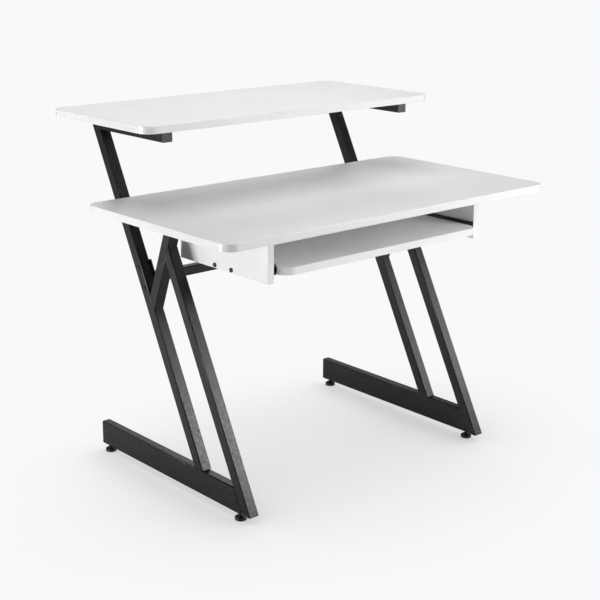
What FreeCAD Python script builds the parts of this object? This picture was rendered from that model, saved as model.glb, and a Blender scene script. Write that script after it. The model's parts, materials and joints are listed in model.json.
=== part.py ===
import FreeCAD, Part
import math
import os
import Sketcher
from FreeCAD import Placement, Rotation, Vector

# Computer desk: a main top with a keyboard tray under it and a raised shelf behind it,
# on two raked steel side frames. Right is +X, the user's side is -Y, up is +Z.
# All sizes are in millimetres. The floor is Z = 0 and the box is centred on X and Y.

SIZES = {
    "board_thickness": 19,
    "band_thickness": 1.5,
    "glue_line": 0.1,
    "corner_radius": 35,
    "top_width": 1114,
    "top_depth": 588,
    "top_front": -417,
    "top_height": 750,
    "shelf_width": 1000,
    "shelf_depth": 443,
    "shelf_front": -26,
    "shelf_height": 963,
    "tray_width": 690,
    "tray_depth": 330,
    "tray_front": -364,
    "tray_height": 649,
    "tray_back_radius": 4,
    "panel_thickness": 18,
    "panel_depth": 350,
    "panel_drop": 121,
    "panel_front": -336,
    "panel_face": 373,
    "frame_face": 430,
    "tube_side": 30,
    "tube_wall": 1.5,
    "tube_round": 2.5,
    "tube_slope": 0.516,
    "rear_back": -150.8,
    "front_back": -309.7,
    "brace_slope": 0.37,
    "brace_back": 4,
    "brace_level": 700,
    "tube_end": 24,
    "rail_side": 25,
    "rail_bottom": 20,
    "rail_drop": 65,
    "rail_rear": 322,
    "shelf_arm_front": 6,
    "top_arm_front": -300,
    "crossbar_side": 25,
    "crossbar_wall": 1.5,
    "crossbar_middle": 113,
    "crossbar_level": 541,
    "plate_thickness": 4,
    "plate_width": 40,
    "plate_height": 86,
    "bolt_high": 568.5,
    "bolt_low": 518.6,
    "bolt_radius": 3,
    "clearance": 0.3,
    "tab_length": 40,
    "tab_reach": 35,
    "tab_thickness": 3,
    "screw_radius": 1.75,
    "slide_level": 643.5,
    "slide_length": 300,
    "slide_inner_length": 270,
    "slide_drop": 27,
    "slide_inner_drop": 17,
    "slide_thickness": 10,
    "slide_sheet": 1.2,
    "slide_front": -334,
    "ball_radius": 1.8,
    "foot_radius": 15,
    "foot_stem": 4,
    "foot_front": -281,
    "foot_back": 302,
}

# Derived lines of the side frame, worked out in the sheet from the sizes above.
DERIVED = {
    "rail_top": "=rail_bottom + rail_drop",
    "top_under": "=top_height - board_thickness",
    "shelf_under": "=shelf_height - board_thickness",
    "arm_under": "=shelf_under - tube_side",
    "top_arm_under": "=top_under - tube_side",
    "tube_run": "=tube_side * sqrt(1 + tube_slope ^ 2)",
    "wall_run": "=tube_wall * sqrt(1 + tube_slope ^ 2)",
    "brace_run": "=tube_side * sqrt(1 + brace_slope ^ 2)",
    "brace_wall_run": "=tube_wall * sqrt(1 + brace_slope ^ 2)",
    "panel_bottom": "=top_under - panel_drop",
    "panel_inner": "=panel_face - panel_thickness",
    "tray_half": "=tray_width / 2",
}

doc = FreeCAD.newDocument("Desk")
sheet = doc.addObject("Spreadsheet::Sheet", "Sizes")
rows = {"count": 0}


def put(alias, text):
    """Write one named cell."""
    rows["count"] += 1
    sheet.set("A%d" % rows["count"], alias)
    sheet.set("B%d" % rows["count"], str(text))
    sheet.setAlias("B%d" % rows["count"], alias)


for alias, number in SIZES.items():
    put(alias, number)
for alias, formula in DERIVED.items():
    put(alias, formula)
doc.recompute()


def size(alias):
    """The value of a named cell."""
    return float(sheet.get(alias))


def plane_of(body, role):
    """One of the body's own origin planes."""
    for feature in body.Origin.OriginFeatures:
        if feature.Role == role:
            return feature
    raise RuntimeError("no plane " + role)


def new_body(name):
    """A body with its own label."""
    body = doc.addObject("PartDesign::Body", name)
    body.Label = name
    return body


def new_sketch(body, name, role):
    """A sketch on one of the body's origin planes."""
    sketch = body.newObject("Sketcher::SketchObject", name)
    sketch.AttachmentSupport = [(plane_of(body, role), "")]
    sketch.MapMode = "FlatFace"
    return sketch


def centred_rectangle(sketch, wide, high, wide_text, high_text):
    """A rectangle round the sketch's origin, its sides driven by the sheet."""
    first = sketch.GeometryCount
    x, y = wide / 2, high / 2
    corners = [Vector(-x, -y, 0), Vector(x, -y, 0), Vector(x, y, 0), Vector(-x, y, 0)]
    for i in range(4):
        sketch.addGeometry(Part.LineSegment(corners[i], corners[(i + 1) % 4]))
    for i in range(4):
        here, after = first + i, first + (i + 1) % 4
        sketch.addConstraint(Sketcher.Constraint("Coincident", here, 2, after, 1))
    for i in (0, 2):
        sketch.addConstraint(Sketcher.Constraint("Horizontal", first + i))
    for i in (1, 3):
        sketch.addConstraint(Sketcher.Constraint("Vertical", first + i))
    sketch.addConstraint(Sketcher.Constraint("Symmetric", first, 1, first + 1, 2, -1, 1))
    across = sketch.addConstraint(Sketcher.Constraint("DistanceX", first, 1, first, 2, wide))
    up = sketch.addConstraint(
        Sketcher.Constraint("DistanceY", first + 1, 1, first + 1, 2, high)
    )
    sketch.setExpression("Constraints[%d]" % across, wide_text)
    sketch.setExpression("Constraints[%d]" % up, high_text)


def outline(sketch, name, points):
    """A closed outline whose corners are cells of the sheet, given as pairs of formulas."""
    corners = []
    for i, (across, up) in enumerate(points):
        put("%s_across_%s" % (name, "abcdefgh"[i]), "=" + across)
        put("%s_up_%s" % (name, "abcdefgh"[i]), "=" + up)
    doc.recompute()
    cells = []
    for i in range(len(points)):
        pair = ["%s_%s_%s" % (name, axis, "abcdefgh"[i]) for axis in ("across", "up")]
        cells.append(pair)
        corners.append(Vector(size(pair[0]), size(pair[1]), 0))
    count = len(corners)
    for i in range(count):
        sketch.addGeometry(Part.LineSegment(corners[i], corners[(i + 1) % count]))
    for i in range(count):
        sketch.addConstraint(Sketcher.Constraint("Coincident", i, 2, (i + 1) % count, 1))
    for i in range(count):
        for kind, cell, value in (
            ("DistanceX", cells[i][0], corners[i].x),
            ("DistanceY", cells[i][1], corners[i].y),
        ):
            made = sketch.addConstraint(Sketcher.Constraint(kind, -1, 1, i, 1, value))
            sketch.setExpression("Constraints[%d]" % made, "Sizes." + cell)


def pad(body, sketch, length_text, middle=False, back=False):
    """A pad whose length is driven by the sheet."""
    feature = body.newObject("PartDesign::Pad", body.Name + "_pad")
    feature.Profile = sketch
    feature.Length = 1
    feature.setExpression("Length", length_text)
    feature.Midplane = middle
    feature.Reversed = back
    sketch.Visibility = False
    doc.recompute()
    return feature


def pocket(body, sketch, length_text, middle=False, back=False):
    """A pocket whose depth is driven by the sheet. It has to take material away."""
    before = body.Shape.Volume
    feature = body.newObject("PartDesign::Pocket", body.Name + "_pocket")
    feature.Profile = sketch
    feature.Length = 1
    feature.setExpression("Length", length_text)
    feature.Midplane = middle
    feature.Reversed = back
    doc.recompute()
    if body.Shape.Volume > before - 1e-3:
        raise RuntimeError("pocket of %s cut nothing" % body.Name)
    return feature


def fillet(body, edges, radius_text):
    """Round named edges of the body's last feature."""
    feature = body.newObject("PartDesign::Fillet", body.Name + "_fillet")
    feature.Base = (body.Group[-2], edges)
    feature.Radius = 0.5
    feature.setExpression("Radius", radius_text)
    doc.recompute()
    return feature


def edges_along(shape, direction, wanted=None):
    """Names of the straight edges that run along a direction."""
    names = []
    for i, edge in enumerate(shape.Edges):
        if not isinstance(edge.Curve, Part.Line):
            continue
        along = edge.tangentAt(edge.FirstParameter)
        if abs(along.dot(direction)) < 0.9999:
            continue
        if wanted is None or wanted(edge.CenterOfMass):
            names.append("Edge%d" % (i + 1))
    return names


def bore(body, name, role, centres, radius_text, depth_text, lift=0, middle=False, back=False):
    """Round holes sunk into a body, square to one of its origin planes, from a lifted sketch."""
    sketch = new_sketch(body, name, role)
    sketch.AttachmentOffset = Placement(Vector(0, 0, lift), Rotation())
    for i, (across, up) in enumerate(centres):
        circle = Part.Circle(Vector(across, up, 0), Vector(0, 0, 1), size("screw_radius"))
        sketch.addGeometry(circle)
        made = sketch.addConstraint(
            Sketcher.Constraint("Radius", i, size("screw_radius"))
        )
        sketch.setExpression("Constraints[%d]" % made, radius_text)
    return pocket(body, sketch, depth_text, middle, back)


def place(body, x, y, z):
    """Stand a body at a point."""
    body.Placement = Placement(Vector(x, y, z), Rotation())


def solids(name, shapes):
    """One node of plain solids that share a material."""
    feature = doc.addObject("Part::Feature", name)
    feature.Label = name
    feature.Shape = shapes[0] if len(shapes) == 1 else Part.makeCompound(shapes)
    feature.Placement = Placement(Vector(0, 0, 0), Rotation())
    return feature


def rod(x, y, z, radius, length, axis):
    """A plain cylinder that starts at a point."""
    return Part.makeCylinder(radius, length, Vector(x, y, z), axis)


def softened(shape, radius, chosen):
    """The shape with some of its edges rounded."""
    edges = [edge for edge in shape.Edges if chosen(edge)]
    return shape.makeFillet(radius, edges)


RIGHT = Vector(1, 0, 0)
BACK = Vector(0, 1, 0)
UP = Vector(0, 0, 1)
SIDES = (("left", -1), ("right", 1))
nodes = []


def keep(item):
    """Note a finished node."""
    nodes.append(item)
    return item


# Where the fasteners go up into the boards.
tab_x = size("frame_face") + size("tab_reach") * 0.55
shelf_tab_x = size("frame_face") - size("tube_side") - size("tab_reach") * 0.55
TOP_TAB_Y = (-270, -90, 100)
SHELF_TAB_Y = (50, 230)
top_screws_at = [(side * tab_x, y) for _, side in SIDES for y in TOP_TAB_Y]
shelf_screws_at = [(side * shelf_tab_x, y) for _, side in SIDES for y in SHELF_TAB_Y]
bracket_x = size("panel_inner") - 15
BRACKET_Y = (-150, -20)
bracket_screws_at = [(side * bracket_x, y) for _, side in SIDES for y in BRACKET_Y]
panel_middle = size("panel_face") - size("panel_thickness") / 2
DOWEL_Y = (-300, -85)
dowels_at = [(side * panel_middle, y) for _, side in SIDES for y in DOWEL_Y]


def board(name, wide, deep, x, y, z, radius_front, radius_back):
    """A board and the plastic band glued round its edge. z is the underside."""
    inset = "2 * (Sizes.band_thickness + Sizes.glue_line)"
    loss = 2 * (size("band_thickness") + size("glue_line"))
    core = new_body(name)
    sketch = new_sketch(core, name + "_outline", "XY_Plane")
    centred_rectangle(
        sketch,
        size(wide) - loss,
        size(deep) - loss,
        "Sizes.%s - %s" % (wide, inset),
        "Sizes.%s - %s" % (deep, inset),
    )
    pad(core, sketch, "Sizes.board_thickness")
    in_front = edges_along(core.Shape, UP, lambda c: c.y < 0)
    fillet(core, in_front, "Sizes.%s - %s / 2" % (radius_front, inset))
    behind = edges_along(core.Shape, UP, lambda c: c.y > 0)
    fillet(core, behind, "Sizes.%s - %s / 2" % (radius_back, inset))

    band = new_body(name + "_edge")
    outer = new_sketch(band, name + "_edge_outline", "XY_Plane")
    centred_rectangle(outer, size(wide), size(deep), "Sizes." + wide, "Sizes." + deep)
    pad(band, outer, "Sizes.board_thickness")
    corners = edges_along(band.Shape, UP, lambda c: c.y < 0)
    fillet(band, corners, "Sizes." + radius_front)
    corners = edges_along(band.Shape, UP, lambda c: c.y > 0)
    fillet(band, corners, "Sizes." + radius_back)
    thin = "2 * Sizes.band_thickness"
    wall = 2 * size("band_thickness")
    inner = new_sketch(band, name + "_edge_inside", "XY_Plane")
    rounded_window(
        inner,
        size(wide) - wall,
        size(deep) - wall,
        size(radius_front) - wall / 2,
        size(radius_back) - wall / 2,
        "Sizes.%s - %s" % (wide, thin),
        "Sizes.%s - %s" % (deep, thin),
    )
    pocket(band, inner, "Sizes.board_thickness + 2", back=True)
    for piece in (core, band):
        place(piece, x, y, z)
        keep(piece)
    return core


def rounded_window(sketch, wide, high, front, back, wide_text, high_text):
    """A rectangle with round corners, closed, for the inside of an edge band."""
    x, y = wide / 2, high / 2
    arcs = (
        (Vector(-x + front, -y + front, 0), front, math.pi),
        (Vector(x - front, -y + front, 0), front, 1.5 * math.pi),
        (Vector(x - back, y - back, 0), back, 0),
        (Vector(-x + back, y - back, 0), back, 0.5 * math.pi),
    )
    for centre, radius, start in arcs:
        circle = Part.Circle(centre, Vector(0, 0, 1), radius)
        sketch.addGeometry(Part.ArcOfCircle(circle, start, start + math.pi / 2))
    lines = (
        (Vector(-x + front, -y, 0), Vector(x - front, -y, 0)),
        (Vector(x, -y + front, 0), Vector(x, y - back, 0)),
        (Vector(x - back, y, 0), Vector(-x + back, y, 0)),
        (Vector(-x, y - back, 0), Vector(-x, -y + front, 0)),
    )
    for start, end in lines:
        sketch.addGeometry(Part.LineSegment(start, end))
    for i in range(4):
        sketch.addConstraint(Sketcher.Constraint("Tangent", i, 2, 4 + i, 1))
        sketch.addConstraint(Sketcher.Constraint("Tangent", 4 + i, 2, (i + 1) % 4, 1))
    for i, radius in ((0, front), (2, back)):
        sketch.addConstraint(Sketcher.Constraint("Radius", i, radius))
    sketch.addConstraint(Sketcher.Constraint("Equal", 0, 1))
    sketch.addConstraint(Sketcher.Constraint("Equal", 2, 3))
    for line, point, kind, value, text in (
        (4, 1, "DistanceY", -high / 2, "-(%s) / 2" % high_text),
        (6, 1, "DistanceY", high / 2, "(%s) / 2" % high_text),
        (5, 1, "DistanceX", wide / 2, "(%s) / 2" % wide_text),
        (7, 1, "DistanceX", -wide / 2, "-(%s) / 2" % wide_text),
    ):
        made = sketch.addConstraint(Sketcher.Constraint(kind, -1, 1, line, point, value))
        sketch.setExpression("Constraints[%d]" % made, text)
    sketch.addConstraint(Sketcher.Constraint("Horizontal", 4))
    sketch.addConstraint(Sketcher.Constraint("Vertical", 5))
    sketch.addConstraint(Sketcher.Constraint("Horizontal", 6))
    sketch.addConstraint(Sketcher.Constraint("Vertical", 7))


# The three boards.
top_y = size("top_front") + size("top_depth") / 2
shelf_y = size("shelf_front") + size("shelf_depth") / 2
tray_y = size("tray_front") + size("tray_depth") / 2
tray_z = size("tray_height") - size("board_thickness")
round_corner = "corner_radius"
main_top = board(
    "main_top", "top_width", "top_depth", 0, top_y, size("top_under"), round_corner, round_corner
)
upper_shelf = board(
    "upper_shelf",
    "shelf_width",
    "shelf_depth",
    0,
    shelf_y,
    size("shelf_under"),
    round_corner,
    round_corner,
)
tray = board(
    "keyboard_tray", "tray_width", "tray_depth", 0, tray_y, tray_z, round_corner, "tray_back_radius"
)
pilot = "Sizes.screw_radius + Sizes.clearance"
up_into_top = top_screws_at + bracket_screws_at
centres = [(x, y - top_y) for x, y in up_into_top]
bore(main_top, "main_top_pilots", "XY_Plane", centres, pilot, "14", back=True)
centres = [(x, y - top_y) for x, y in dowels_at]
bore(main_top, "main_top_dowels", "XY_Plane", centres, "4 + Sizes.clearance", "12", back=True)
centres = [(x, y - shelf_y) for x, y in shelf_screws_at]
bore(upper_shelf, "upper_shelf_pilots", "XY_Plane", centres, pilot, "14", back=True)

# Side panels that carry the tray.
SLIDE_SCREW_Y = (-310, -60)
TRAY_SCREW_Y = (-300, -90)
SPREADER_BOLT_Y = (-194.7, -128.7)
spreader_bolt_z = 618
panel_y = size("panel_front") + size("panel_depth") / 2
panel_z = size("panel_bottom") + size("panel_drop") / 2
for name, side in SIDES:
    panel = new_body("tray_panel_" + name)
    sketch = new_sketch(panel, "tray_panel_outline_" + name, "YZ_Plane")
    centred_rectangle(
        sketch,
        size("panel_depth"),
        size("panel_drop"),
        "Sizes.panel_depth",
        "Sizes.panel_drop",
    )
    pad(panel, sketch, "Sizes.panel_thickness", middle=True)
    place(panel, side * panel_middle, panel_y, panel_z)
    bolts = [(y - panel_y, spreader_bolt_z - panel_z) for y in SPREADER_BOLT_Y]
    label = "tray_panel_bolt_holes_" + name
    whole = "Sizes.panel_thickness + 2"
    bore(panel, label, "YZ_Plane", bolts, "Sizes.bolt_radius + Sizes.clearance", whole, middle=True)
    slides = [(y - panel_y, size("slide_level") - panel_z) for y in SLIDE_SCREW_Y]
    brackets = [(y - panel_y, size("top_under") - 15 - panel_z) for y in BRACKET_Y]
    label = "tray_panel_pilots_" + name
    face = -side * size("panel_thickness") / 2
    bore(panel, label, "YZ_Plane", slides + brackets, pilot, "13", lift=face, back=side > 0)
    pins = [(0, y - panel_y) for y in DOWEL_Y]
    label = "tray_panel_dowel_holes_" + name
    bore(panel, label, "XY_Plane", pins, "4 + Sizes.clearance", "21", lift=size("panel_drop") / 2)
    keep(panel)
dowels = [rod(x, y, size("top_under") - 20, 4, 30, UP) for x, y in dowels_at]
keep(solids("panel_dowels", dowels))

# The tray's side edges take the slides' screws, so its band is drilled too.
for name, side in SIDES:
    screws = [(y - tray_y, size("slide_level") - tray_z) for y in TRAY_SCREW_Y]
    lift = side * size("tray_half")
    for piece, deep in ((tray, "18"), (doc.getObject("keyboard_tray_edge"), "4")):
        label = piece.Name + "_side_pilots_" + name
        bore(piece, label, "YZ_Plane", screws, pilot, deep, lift=lift, back=side < 0)


def tube(name, x, points, hollow, wide_text, round_along):
    """A hollow steel tube drawn by its side outline, across which it is a plain width.

    points are the corners of the outside and hollow those of the inside, which runs out
    past both ends."""
    body = new_body(name)
    sketch = new_sketch(body, name + "_side", "YZ_Plane")
    outline(sketch, name + "_side", points)
    pad(body, sketch, wide_text, middle=True)
    fillet(body, edges_along(body.Shape, round_along), "Sizes.tube_round")
    inside = new_sketch(body, name + "_inside", "YZ_Plane")
    outline(inside, name + "_inside", hollow)
    pocket(body, inside, wide_text + " - 2 * Sizes.tube_wall", middle=True)
    place(body, x, 0, 0)
    return keep(body)


def raked(level, line, shift="0"):
    """A corner on a tube's raked face, at a level given as a formula."""
    return ("%s + tube_slope * (%s) - (%s)" % (line, level, shift), level)


def braced(level, shift="0"):
    """A corner on a brace's back face, or a shift in front of it."""
    run = "brace_back + brace_slope * (brace_level - (%s)) - (%s)" % (level, shift)
    return (run, level)


slope = size("tube_slope")
lean = Vector(0, slope, 1).normalize()
counter = Vector(0, -size("brace_slope"), 1).normalize()
# Levels where the brace meets the rear tube's front face and the front tube meets the brace.
both = "(tube_slope + brace_slope)"
start = "brace_back + brace_slope * brace_level"
cuts = {
    "brace_foot_back": "=(%s - rear_back + tube_run) / %s" % (start, both),
    "brace_foot_front": "=(%s - brace_run - rear_back + tube_run) / %s" % (start, both),
    "front_head_front": "=(%s - brace_run - front_back + tube_run) / %s" % (start, both),
    "front_head_back": "=(%s - brace_run - front_back) / %s" % (start, both),
}
for alias, formula in cuts.items():
    put(alias, formula)
doc.recompute()

wide = "Sizes.tube_side"
for name, side in SIDES:
    x = side * (size("frame_face") - size("tube_side") / 2)
    # Rear tube, from the base rail to the underside of the shelf.
    points = [
        raked("rail_top", "rear_back"),
        raked("shelf_under", "rear_back"),
        raked("shelf_under", "rear_back", "tube_run"),
        raked("rail_top", "rear_back", "tube_run"),
    ]
    hollow = [
        raked("rail_top - 5", "rear_back", "wall_run"),
        raked("shelf_under + 5", "rear_back", "wall_run"),
        raked("shelf_under + 5", "rear_back", "tube_run - wall_run"),
        raked("rail_top - 5", "rear_back", "tube_run - wall_run"),
    ]
    rear = tube("rear_tube_" + name, x, points, hollow, wide, lean)
    middle = size("rear_back") - size("tube_run") / 2
    bolts = [(middle + slope * size(z), size(z)) for z in ("bolt_low", "bolt_high")]
    label = "rear_tube_bolt_holes_" + name
    hole = "Sizes.bolt_radius + Sizes.clearance"
    bore(rear, label, "YZ_Plane", bolts, hole, "Sizes.tube_side + 2", middle=True)
    # Front tube, from the floor end to the brace.
    points = [
        raked("tube_end", "front_back"),
        raked("front_head_back", "front_back"),
        raked("front_head_front", "front_back", "tube_run"),
        raked("tube_end", "front_back", "tube_run"),
    ]
    hollow = [
        raked("tube_end - 5", "front_back", "wall_run"),
        raked("front_head_back + 2", "front_back", "wall_run"),
        raked("front_head_front + 8", "front_back", "tube_run - wall_run"),
        raked("tube_end - 5", "front_back", "tube_run - wall_run"),
    ]
    tube("front_tube_" + name, x, points, hollow, wide, lean)
    # Brace, from the top arm down to the rear tube.
    points = [
        braced("brace_foot_back"),
        braced("top_arm_under"),
        braced("top_arm_under", "brace_run"),
        braced("brace_foot_front", "brace_run"),
    ]
    hollow = [
        braced("brace_foot_back - 2", "brace_wall_run"),
        braced("top_arm_under + 5", "brace_wall_run"),
        braced("top_arm_under + 5", "brace_run - brace_wall_run"),
        braced("brace_foot_front - 6", "brace_run - brace_wall_run"),
    ]
    tube("brace_" + name, x, points, hollow, wide, counter)
    # Base rail, butted against the front tube's back face.
    rail_x = side * (size("frame_face") - size("rail_side") / 2)
    points = [
        raked("rail_bottom", "front_back"),
        ("rail_rear", "rail_bottom"),
        ("rail_rear", "rail_top"),
        raked("rail_top", "front_back"),
    ]
    hollow = [
        raked("rail_bottom + tube_wall", "front_back", "5"),
        ("rail_rear + 5", "rail_bottom + tube_wall"),
        ("rail_rear + 5", "rail_top - tube_wall"),
        raked("rail_top - tube_wall", "front_back", "5"),
    ]
    rail = tube("base_rail_" + name, rail_x, points, hollow, "Sizes.rail_side", BACK)
    feet = [(0, size("foot_front")), (0, size("foot_back"))]
    label = "base_rail_foot_holes_" + name
    lift = size("rail_bottom") - 1
    bore(rail, label, "XY_Plane", feet, "6 + Sizes.clearance", "5", lift=lift, back=True)
    # Arm under the shelf, butted against the rear tube's front face.
    points = [
        ("shelf_arm_front", "arm_under"),
        raked("arm_under", "rear_back", "tube_run"),
        raked("shelf_under", "rear_back", "tube_run"),
        ("shelf_arm_front", "shelf_under"),
    ]
    hollow = [
        ("shelf_arm_front - 5", "arm_under + tube_wall"),
        raked("arm_under + tube_wall", "rear_back", "tube_run - 5"),
        raked("shelf_under - tube_wall", "rear_back", "tube_run - 5"),
        ("shelf_arm_front - 5", "shelf_under - tube_wall"),
    ]
    tube("shelf_arm_" + name, x, points, hollow, wide, BACK)
    # Arm under the main top.
    points = [
        ("top_arm_front", "top_arm_under"),
        raked("top_arm_under", "rear_back", "tube_run"),
        raked("top_under", "rear_back", "tube_run"),
        ("top_arm_front", "top_under"),
    ]
    hollow = [
        ("top_arm_front - 5", "top_arm_under + tube_wall"),
        raked("top_arm_under + tube_wall", "rear_back", "tube_run - 5"),
        raked("top_under - tube_wall", "rear_back", "tube_run - 5"),
        ("top_arm_front - 5", "top_under - tube_wall"),
    ]
    tube("top_arm_" + name, x, points, hollow, wide, BACK)

# Crossbar between the rear tubes, its end plates and their bolts.
crossbar = new_body("crossbar")
sketch = new_sketch(crossbar, "crossbar_section", "YZ_Plane")
side_text = "Sizes.crossbar_side"
square = size("crossbar_side")
centred_rectangle(sketch, square, square, side_text, side_text)
run_text = "2 * (Sizes.frame_face - Sizes.tube_side - Sizes.plate_thickness)"
pad(crossbar, sketch, run_text, middle=True)
fillet(crossbar, edges_along(crossbar.Shape, RIGHT), "Sizes.tube_round")
sketch = new_sketch(crossbar, "crossbar_inside", "YZ_Plane")
inner_text = "Sizes.crossbar_side - 2 * Sizes.crossbar_wall"
inner_side = square - 2 * size("crossbar_wall")
centred_rectangle(sketch, inner_side, inner_side, inner_text, inner_text)
pocket(crossbar, sketch, run_text + " + 4", middle=True)
place(crossbar, 0, size("crossbar_middle"), size("crossbar_level"))
keep(crossbar)

inner_face = size("frame_face") - size("tube_side")
rear_middle = size("rear_back") - size("tube_run") / 2
bolt_levels = (size("bolt_low"), size("bolt_high"))
plate_level = sum(bolt_levels) / 2
plate_y = rear_middle + slope * plate_level
tilt = Rotation(Vector(1, 0, 0), -math.degrees(math.atan(slope)))
hole_gap = (bolt_levels[1] - bolt_levels[0]) * math.sqrt(1 + slope * slope)
for name, side in SIDES:
    plate = new_body("crossbar_plate_" + name)
    sketch = new_sketch(plate, "crossbar_plate_outline_" + name, "YZ_Plane")
    centred_rectangle(
        sketch,
        size("plate_width"),
        size("plate_height"),
        "Sizes.plate_width",
        "Sizes.plate_height",
    )
    pad(plate, sketch, "Sizes.plate_thickness", middle=True)
    fillet(plate, edges_along(plate.Shape, RIGHT), "4")
    holes = [(0, -hole_gap / 2), (0, hole_gap / 2)]
    label = "crossbar_plate_holes_" + name
    hole = "Sizes.bolt_radius + Sizes.clearance"
    bore(plate, label, "YZ_Plane", holes, hole, "Sizes.plate_thickness + 2", middle=True)
    x = side * (inner_face - size("plate_thickness") / 2)
    plate.Placement = Placement(Vector(x, plate_y, plate_level), tilt)
    keep(plate)


def along(side):
    """Outwards on one side of the desk."""
    return Vector(side, 0, 0)


def hexagon(centre, radius, length, axis, bore_radius):
    """A plain nut."""
    turn = Rotation(UP, axis)
    corners = []
    for i in range(7):
        angle = math.radians(60 * i)
        flat = Vector(radius * math.cos(angle), radius * math.sin(angle), 0)
        corners.append(centre + turn.multVec(flat))
    body = Part.Face(Part.makePolygon(corners)).extrude(axis * length)
    return body.cut(Part.makeCylinder(bore_radius, length * 3, centre - axis * length, axis))


def round_bolt(x, y, z, outward, shank_radius, length, head_radius, head_height):
    """A bolt with a low round head. The point is where its head meets the work."""
    seat = Vector(x, y, z)
    head = Part.makeCylinder(head_radius, head_height, seat, outward)
    crown = seat + outward * head_height
    head = softened(
        head,
        head_height * 0.45,
        lambda edge: (edge.CenterOfMass - crown).Length < 0.01,
    )
    socket = Part.makeCylinder(head_radius * 0.36, head_height * 0.7, crown, outward * -1)
    head = head.cut(socket)
    shank = Part.makeCylinder(shank_radius, length, seat, outward * -1)
    return head.fuse(shank).removeSplitter()


bolts = []
nuts = []
for name, side in SIDES:
    for level in bolt_levels:
        y = rear_middle + slope * level
        bolts.append(
            round_bolt(side * size("frame_face"), y, level, along(side), 3, 44, 6, 3)
        )
        seat = Vector(side * (inner_face - size("plate_thickness")), y, level)
        nuts.append(hexagon(seat, 5.5, 5, along(-side), 3.05))
keep(solids("crossbar_bolts", bolts))
keep(solids("crossbar_nuts", nuts))

# Steel tabs on the arms and the screws that hold the boards down on them.
def tabs(name, root, outward, across, levels_y, level):
    """A row of plates welded beside an arm, level with its top, each with one screw hole."""
    plates = []
    for y in levels_y:
        plate = Part.makeBox(
            size("tab_reach"),
            size("tab_length"),
            size("tab_thickness"),
            Vector(
                min(root, root + outward * size("tab_reach")),
                y - size("tab_length") / 2,
                level - size("tab_thickness"),
            ),
        )
        plate = softened(plate, 6, lambda edge: far_corner(edge, root, size("tab_length"), y))
        plates.append(plate.cut(rod(across, y, level - 10, 2.4, 20, UP)))
    return keep(solids(name, plates))


def far_corner(edge, root, length, y):
    """True for the upright edges of a tab's free end."""
    middle = edge.CenterOfMass
    upright = abs(edge.Length - size("tab_thickness")) < 0.01
    return upright and abs(middle.x - root) > 1 and abs(abs(middle.y - y) - length / 2) < 0.01


def wood_screw(x, y, z, axis, length):
    """A pan-head wood screw. The point is where its head meets the work."""
    seat = Vector(x, y, z)
    shank = size("screw_radius")
    straight = Part.makeCylinder(shank, length - 3, seat, axis)
    point = Part.makeCone(shank, 0.3, 3, seat + axis * (length - 3), axis)
    head = Part.makeCylinder(3.8, 2.4, seat - axis * 2.4, axis)
    head = softened(head, 1, lambda edge: (edge.CenterOfMass - (seat - axis * 2.4)).Length < 0.01)
    slot = Part.makeCylinder(1.1, 1.2, seat - axis * 2.4, axis)
    return head.cut(slot).fuse([straight, point]).removeSplitter()


for name, side in SIDES:
    outer = side * size("frame_face")
    tabs("top_tabs_" + name, outer, side, side * tab_x, TOP_TAB_Y, size("top_under"))
    inner = side * inner_face
    level = size("shelf_under")
    tabs("shelf_tabs_" + name, inner, -side, side * shelf_tab_x, SHELF_TAB_Y, level)

tab_under = size("tab_thickness")
level = size("top_under") - tab_under
keep(solids("top_screws", [wood_screw(x, y, level, UP, 15) for x, y in top_screws_at]))
level = size("shelf_under") - tab_under
keep(solids("shelf_screws", [wood_screw(x, y, level, UP, 15) for x, y in shelf_screws_at]))

# Angle brackets between the panels and the main top.
brackets = []
bracket_screws = []
for name, side in SIDES:
    face = side * size("panel_inner")
    for y in BRACKET_Y:
        x = min(face, face - side * 25)
        plate = Part.makeBox(25, 30, 2, Vector(x, y - 15, size("top_under") - 2))
        x = min(face, face - side * 2)
        leg = Part.makeBox(2, 30, 25, Vector(x, y - 15, size("top_under") - 25))
        angle = plate.fuse(leg).removeSplitter()
        angle = angle.cut(rod(side * bracket_x, y, size("top_under") - 10, 2.4, 20, UP))
        level = size("top_under") - 15
        angle = angle.cut(rod(face + side * 10, y, level, 2.4, 20, along(-side)))
        brackets.append(angle)
        bracket_screws.append(wood_screw(side * bracket_x, y, size("top_under") - 2, UP, 12))
        bracket_screws.append(wood_screw(face - side * 2, y, level, along(side), 12))
keep(solids("panel_brackets", brackets))
keep(solids("bracket_screws", bracket_screws))

# Spreader under the tray, bolted through both panels.
spreader_y = sum(SPREADER_BOLT_Y) / 2
half = size("panel_inner")
deck = Part.makeBox(2 * half, 80, 2, Vector(-half, spreader_y - 40, 624))
parts = []
for y in (spreader_y - 40, spreader_y + 38):
    parts.append(Part.makeBox(2 * half, 2, 12, Vector(-half, y, 612)))
for side in (-1, 1):
    x = min(side * half, side * (half - 2))
    parts.append(Part.makeBox(2, 100, 15, Vector(x, spreader_y - 50, 611)))
spreader = deck.fuse(parts).removeSplitter()
bolts = []
nuts = []
for name, side in SIDES:
    for y in SPREADER_BOLT_Y:
        spreader = spreader.cut(
            rod(side * (half + 5), y, spreader_bolt_z, 3.3, 10, along(-side))
        )
        x = side * size("panel_face")
        bolts.append(round_bolt(x, y, spreader_bolt_z, along(side), 3, 27, 6, 3.5))
        nuts.append(
            hexagon(Vector(side * (half - 2), y, spreader_bolt_z), 5.5, 5, along(-side), 3.05)
        )
keep(solids("tray_spreader", [spreader]))
keep(solids("spreader_bolts", bolts))
keep(solids("spreader_nuts", nuts))


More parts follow.
